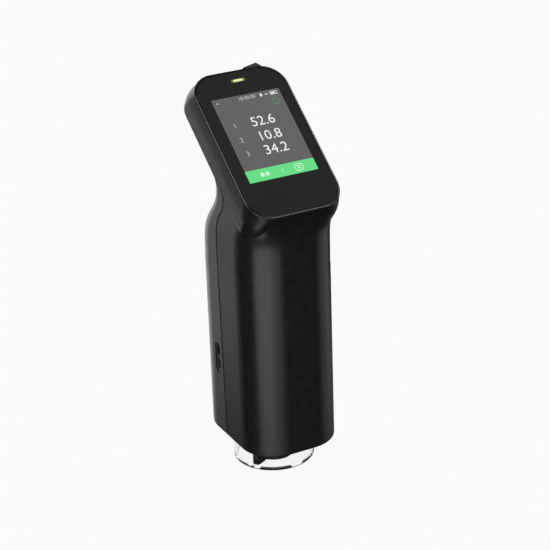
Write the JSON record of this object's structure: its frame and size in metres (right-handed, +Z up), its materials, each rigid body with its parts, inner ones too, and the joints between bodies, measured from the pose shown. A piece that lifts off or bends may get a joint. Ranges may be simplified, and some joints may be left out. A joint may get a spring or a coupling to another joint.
{
  "type": "hand-held spectrophotometer",
  "caption": "Upright hand-held colour meter with a tilted display head, a clear locating ring round its measuring nose, and a sprung button on top.",
  "frame": {"origin": "centre of the clear ring's foot, on the surface that the instrument stands on", "axes": "+Z up along the body, -Y towards the user (the display side), +X to the user's right"},
  "size_m": [0.0606, 0.0916, 0.233],
  "materials": {
    "housing": "fine satin texture",
    "face_glass": "black back-printed glass",
    "screen": "lit display",
    "clear_ring": "clear moulded plastic",
    "nose": "matt black",
    "sphere": "white diffuse coating inside",
    "metal": "machined",
    "black_metal": "black anodised",
    "board": "solder mask",
    "chip": "moulded",
    "screw": "plated",
    "lens": "optical",
    "mirror": "front surface",
    "battery": "shrink wrap",
    "tray": "moulded",
    "seal": "matt",
    "led": "phosphor",
    "light_pipe": "lit, yellow-green",
    "button": "satin",
    "socket": "plated shell",
    "film": "polyimide ribbon"
  },
  "bodies": {
    "instrument": {"base_plate": "nose", "base_screws": "screw", "battery_pack": "battery", "battery_tray": "tray", "buzzer": "chip", "charge_light": "light_pipe", "collecting_lens": "lens", "concave_grating": "mirror", "cover_glass": "face_glass", "cover_screws": "screw", "display_board": "board", "display_board_screws": "screw", "display_driver_chip": "chip", "display_flex": "film", "display_frame": "tray", "display_panel": "screen", "entrance_slit": "metal", "fold_mirror": "mirror", "front_housing": "housing", "indicator_led": "led", "indicator_light_pipe": "light_pipe", "lamp_board": "board", "lamp_leds": "led", "lens_barrel": "black_metal", "lens_retainer": "black_metal", "lid_screws": "screw", "line_sensor": "chip", "link_ribbon": "film", "main_board": "board", "main_board_chips": "chip", "main_board_screws": "screw", "nose_barrel": "nose", "nose_screws": "screw", "nose_window": "lens", "optics_chassis": "metal", "power_switch": "chip", "radio_module": "metal", "rear_cover": "housing", "ribbon_connector": "tray", "ring_seal": "seal", "sensor_board": "board", "side_board": "board", "side_board_screws": "screw", "spectrometer_block": "black_metal", "spectrometer_lid": "black_metal", "sphere_lower": "sphere", "sphere_screws": "screw", "sphere_upper": "sphere", "top_button_switch": "chip", "tray_screws": "screw", "usb_contacts": "chip", "usb_socket": "socket"},
    "top_button": {"top_button": "button"},
    "power_button": {"power_button": "button"},
    "aperture_cap": {"aperture_cap": "nose"},
    "locating_ring": {"locating_ring": "clear_ring"}
  },
  "joints": [
    {"name": "top_button_press", "type": "slide", "parent": "instrument", "child": "top_button", "axis": [0, -0.7891, -0.6143], "range_m": [0, 0.0007], "stiffness_N_per_m": 1500},
    {"name": "power_button_press", "type": "slide", "parent": "instrument", "child": "power_button", "axis": [1, 0, 0], "range_m": [0, 0.0005], "stiffness_N_per_m": 1500},
    {"name": "cap_twist", "type": "hinge", "parent": "instrument", "child": "aperture_cap", "pos_m": [0, 0, 0.005], "axis": [0, 0, 1], "range_deg": [-30, 0]},
    {"name": "ring_pull_off", "type": "slide", "parent": "instrument", "child": "locating_ring", "axis": [0, 0, -1], "range_m": [0, 0.026]}
  ]
}
